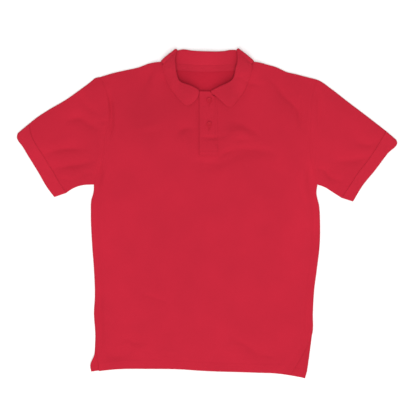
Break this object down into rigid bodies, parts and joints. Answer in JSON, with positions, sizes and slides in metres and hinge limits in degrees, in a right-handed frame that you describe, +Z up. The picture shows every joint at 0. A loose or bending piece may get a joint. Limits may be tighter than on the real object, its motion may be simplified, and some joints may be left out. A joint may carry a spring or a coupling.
{
  "type": "polo shirt",
  "caption": "Short-sleeved knitted polo shirt laid flat on its back, with a ribbed fold-over collar, buttoned placket, ribbed cuffs and side vents.",
  "frame": {"origin": "the middle of the shirt's bounding box, on the surface that it lies on", "axes": "+X towards the wearer's left sleeve (the right of the picture), +Y from the hem to the collar, +Z up, away from the surface"},
  "size_m": [0.8521, 0.7408, 0.0191],
  "materials": {
    "pique": "soft red cotton pique knit",
    "rib": "fine red flat-knit rib",
    "tape": "red herringbone tape",
    "button": "semi-gloss red"
  },
  "bodies": {
    "root": {"back_panel": "pique", "front_panel": "pique", "sleeve_left": "pique", "sleeve_right": "pique", "cuff_left": "rib", "cuff_right": "rib", "collar": "rib", "neck_tape": "tape", "placket_under": "pique", "placket_over": "pique", "button_1": "button", "button_2": "button"}
  },
  "joints": []
}
